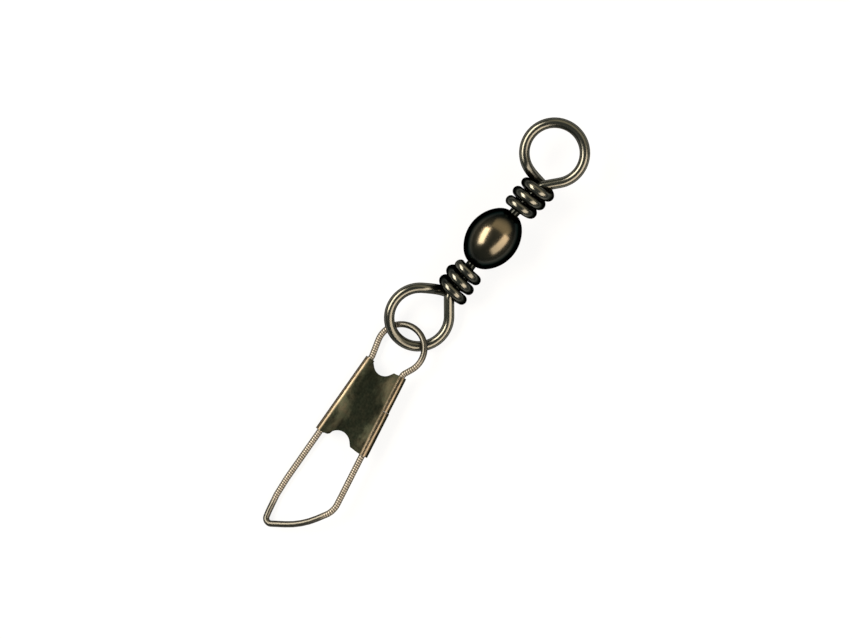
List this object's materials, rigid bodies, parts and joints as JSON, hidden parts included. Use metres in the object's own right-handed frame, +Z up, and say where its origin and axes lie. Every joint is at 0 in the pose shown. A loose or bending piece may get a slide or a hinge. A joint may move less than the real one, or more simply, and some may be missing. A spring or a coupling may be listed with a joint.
{
  "type": "fishing snap swivel",
  "caption": "Barrel swivel with a wrapped wire eye at each end, a bent-wire snap with a folded locking plate linked into one eye; joins a line to a lure.",
  "frame": {"origin": "middle of the part's length and width, on the table it lies on", "axes": "+X along the swivel's axis towards the line eye, +Y across it towards the side that both eyes stand off, +Z up from the table"},
  "size_m": [0.0593, 0.0112, 0.0062],
  "materials": {
    "barrel_plating": "brass, bright black nickel plate",
    "eye_wire": "stainless or brass wire, bronze-black plate, glossy",
    "snap_wire": "spring wire, dull grey-olive",
    "snap_plate": "thin steel sheet, dark mottled satin plate"
  },
  "bodies": {
    "barrel": {"barrel": "barrel_plating"},
    "upper_eye": {"upper_eye": "eye_wire"},
    "lower_eye": {"lower_eye": "eye_wire"},
    "snap": {"snap_wire": "snap_wire", "snap_plate": "snap_plate"}
  },
  "joints": [
    {"name": "upper_eye_spin", "type": "hinge", "parent": "barrel", "child": "upper_eye", "pos_m": [0.01326, 0.00064, 0.00311], "axis": [0.9936, 0, 0.1133], "continuous": true},
    {"name": "lower_eye_spin", "type": "hinge", "parent": "barrel", "child": "lower_eye", "pos_m": [0.01326, 0.00064, 0.00311], "axis": [0.9936, 0, 0.1133], "continuous": true},
    {"name": "snap_swing", "type": "hinge", "parent": "lower_eye", "child": "snap", "pos_m": [0.00069, 0.00142, 0.00187], "axis": [-0.1099, -0.2419, 0.964], "range_deg": [-114, 106]}
  ]
}
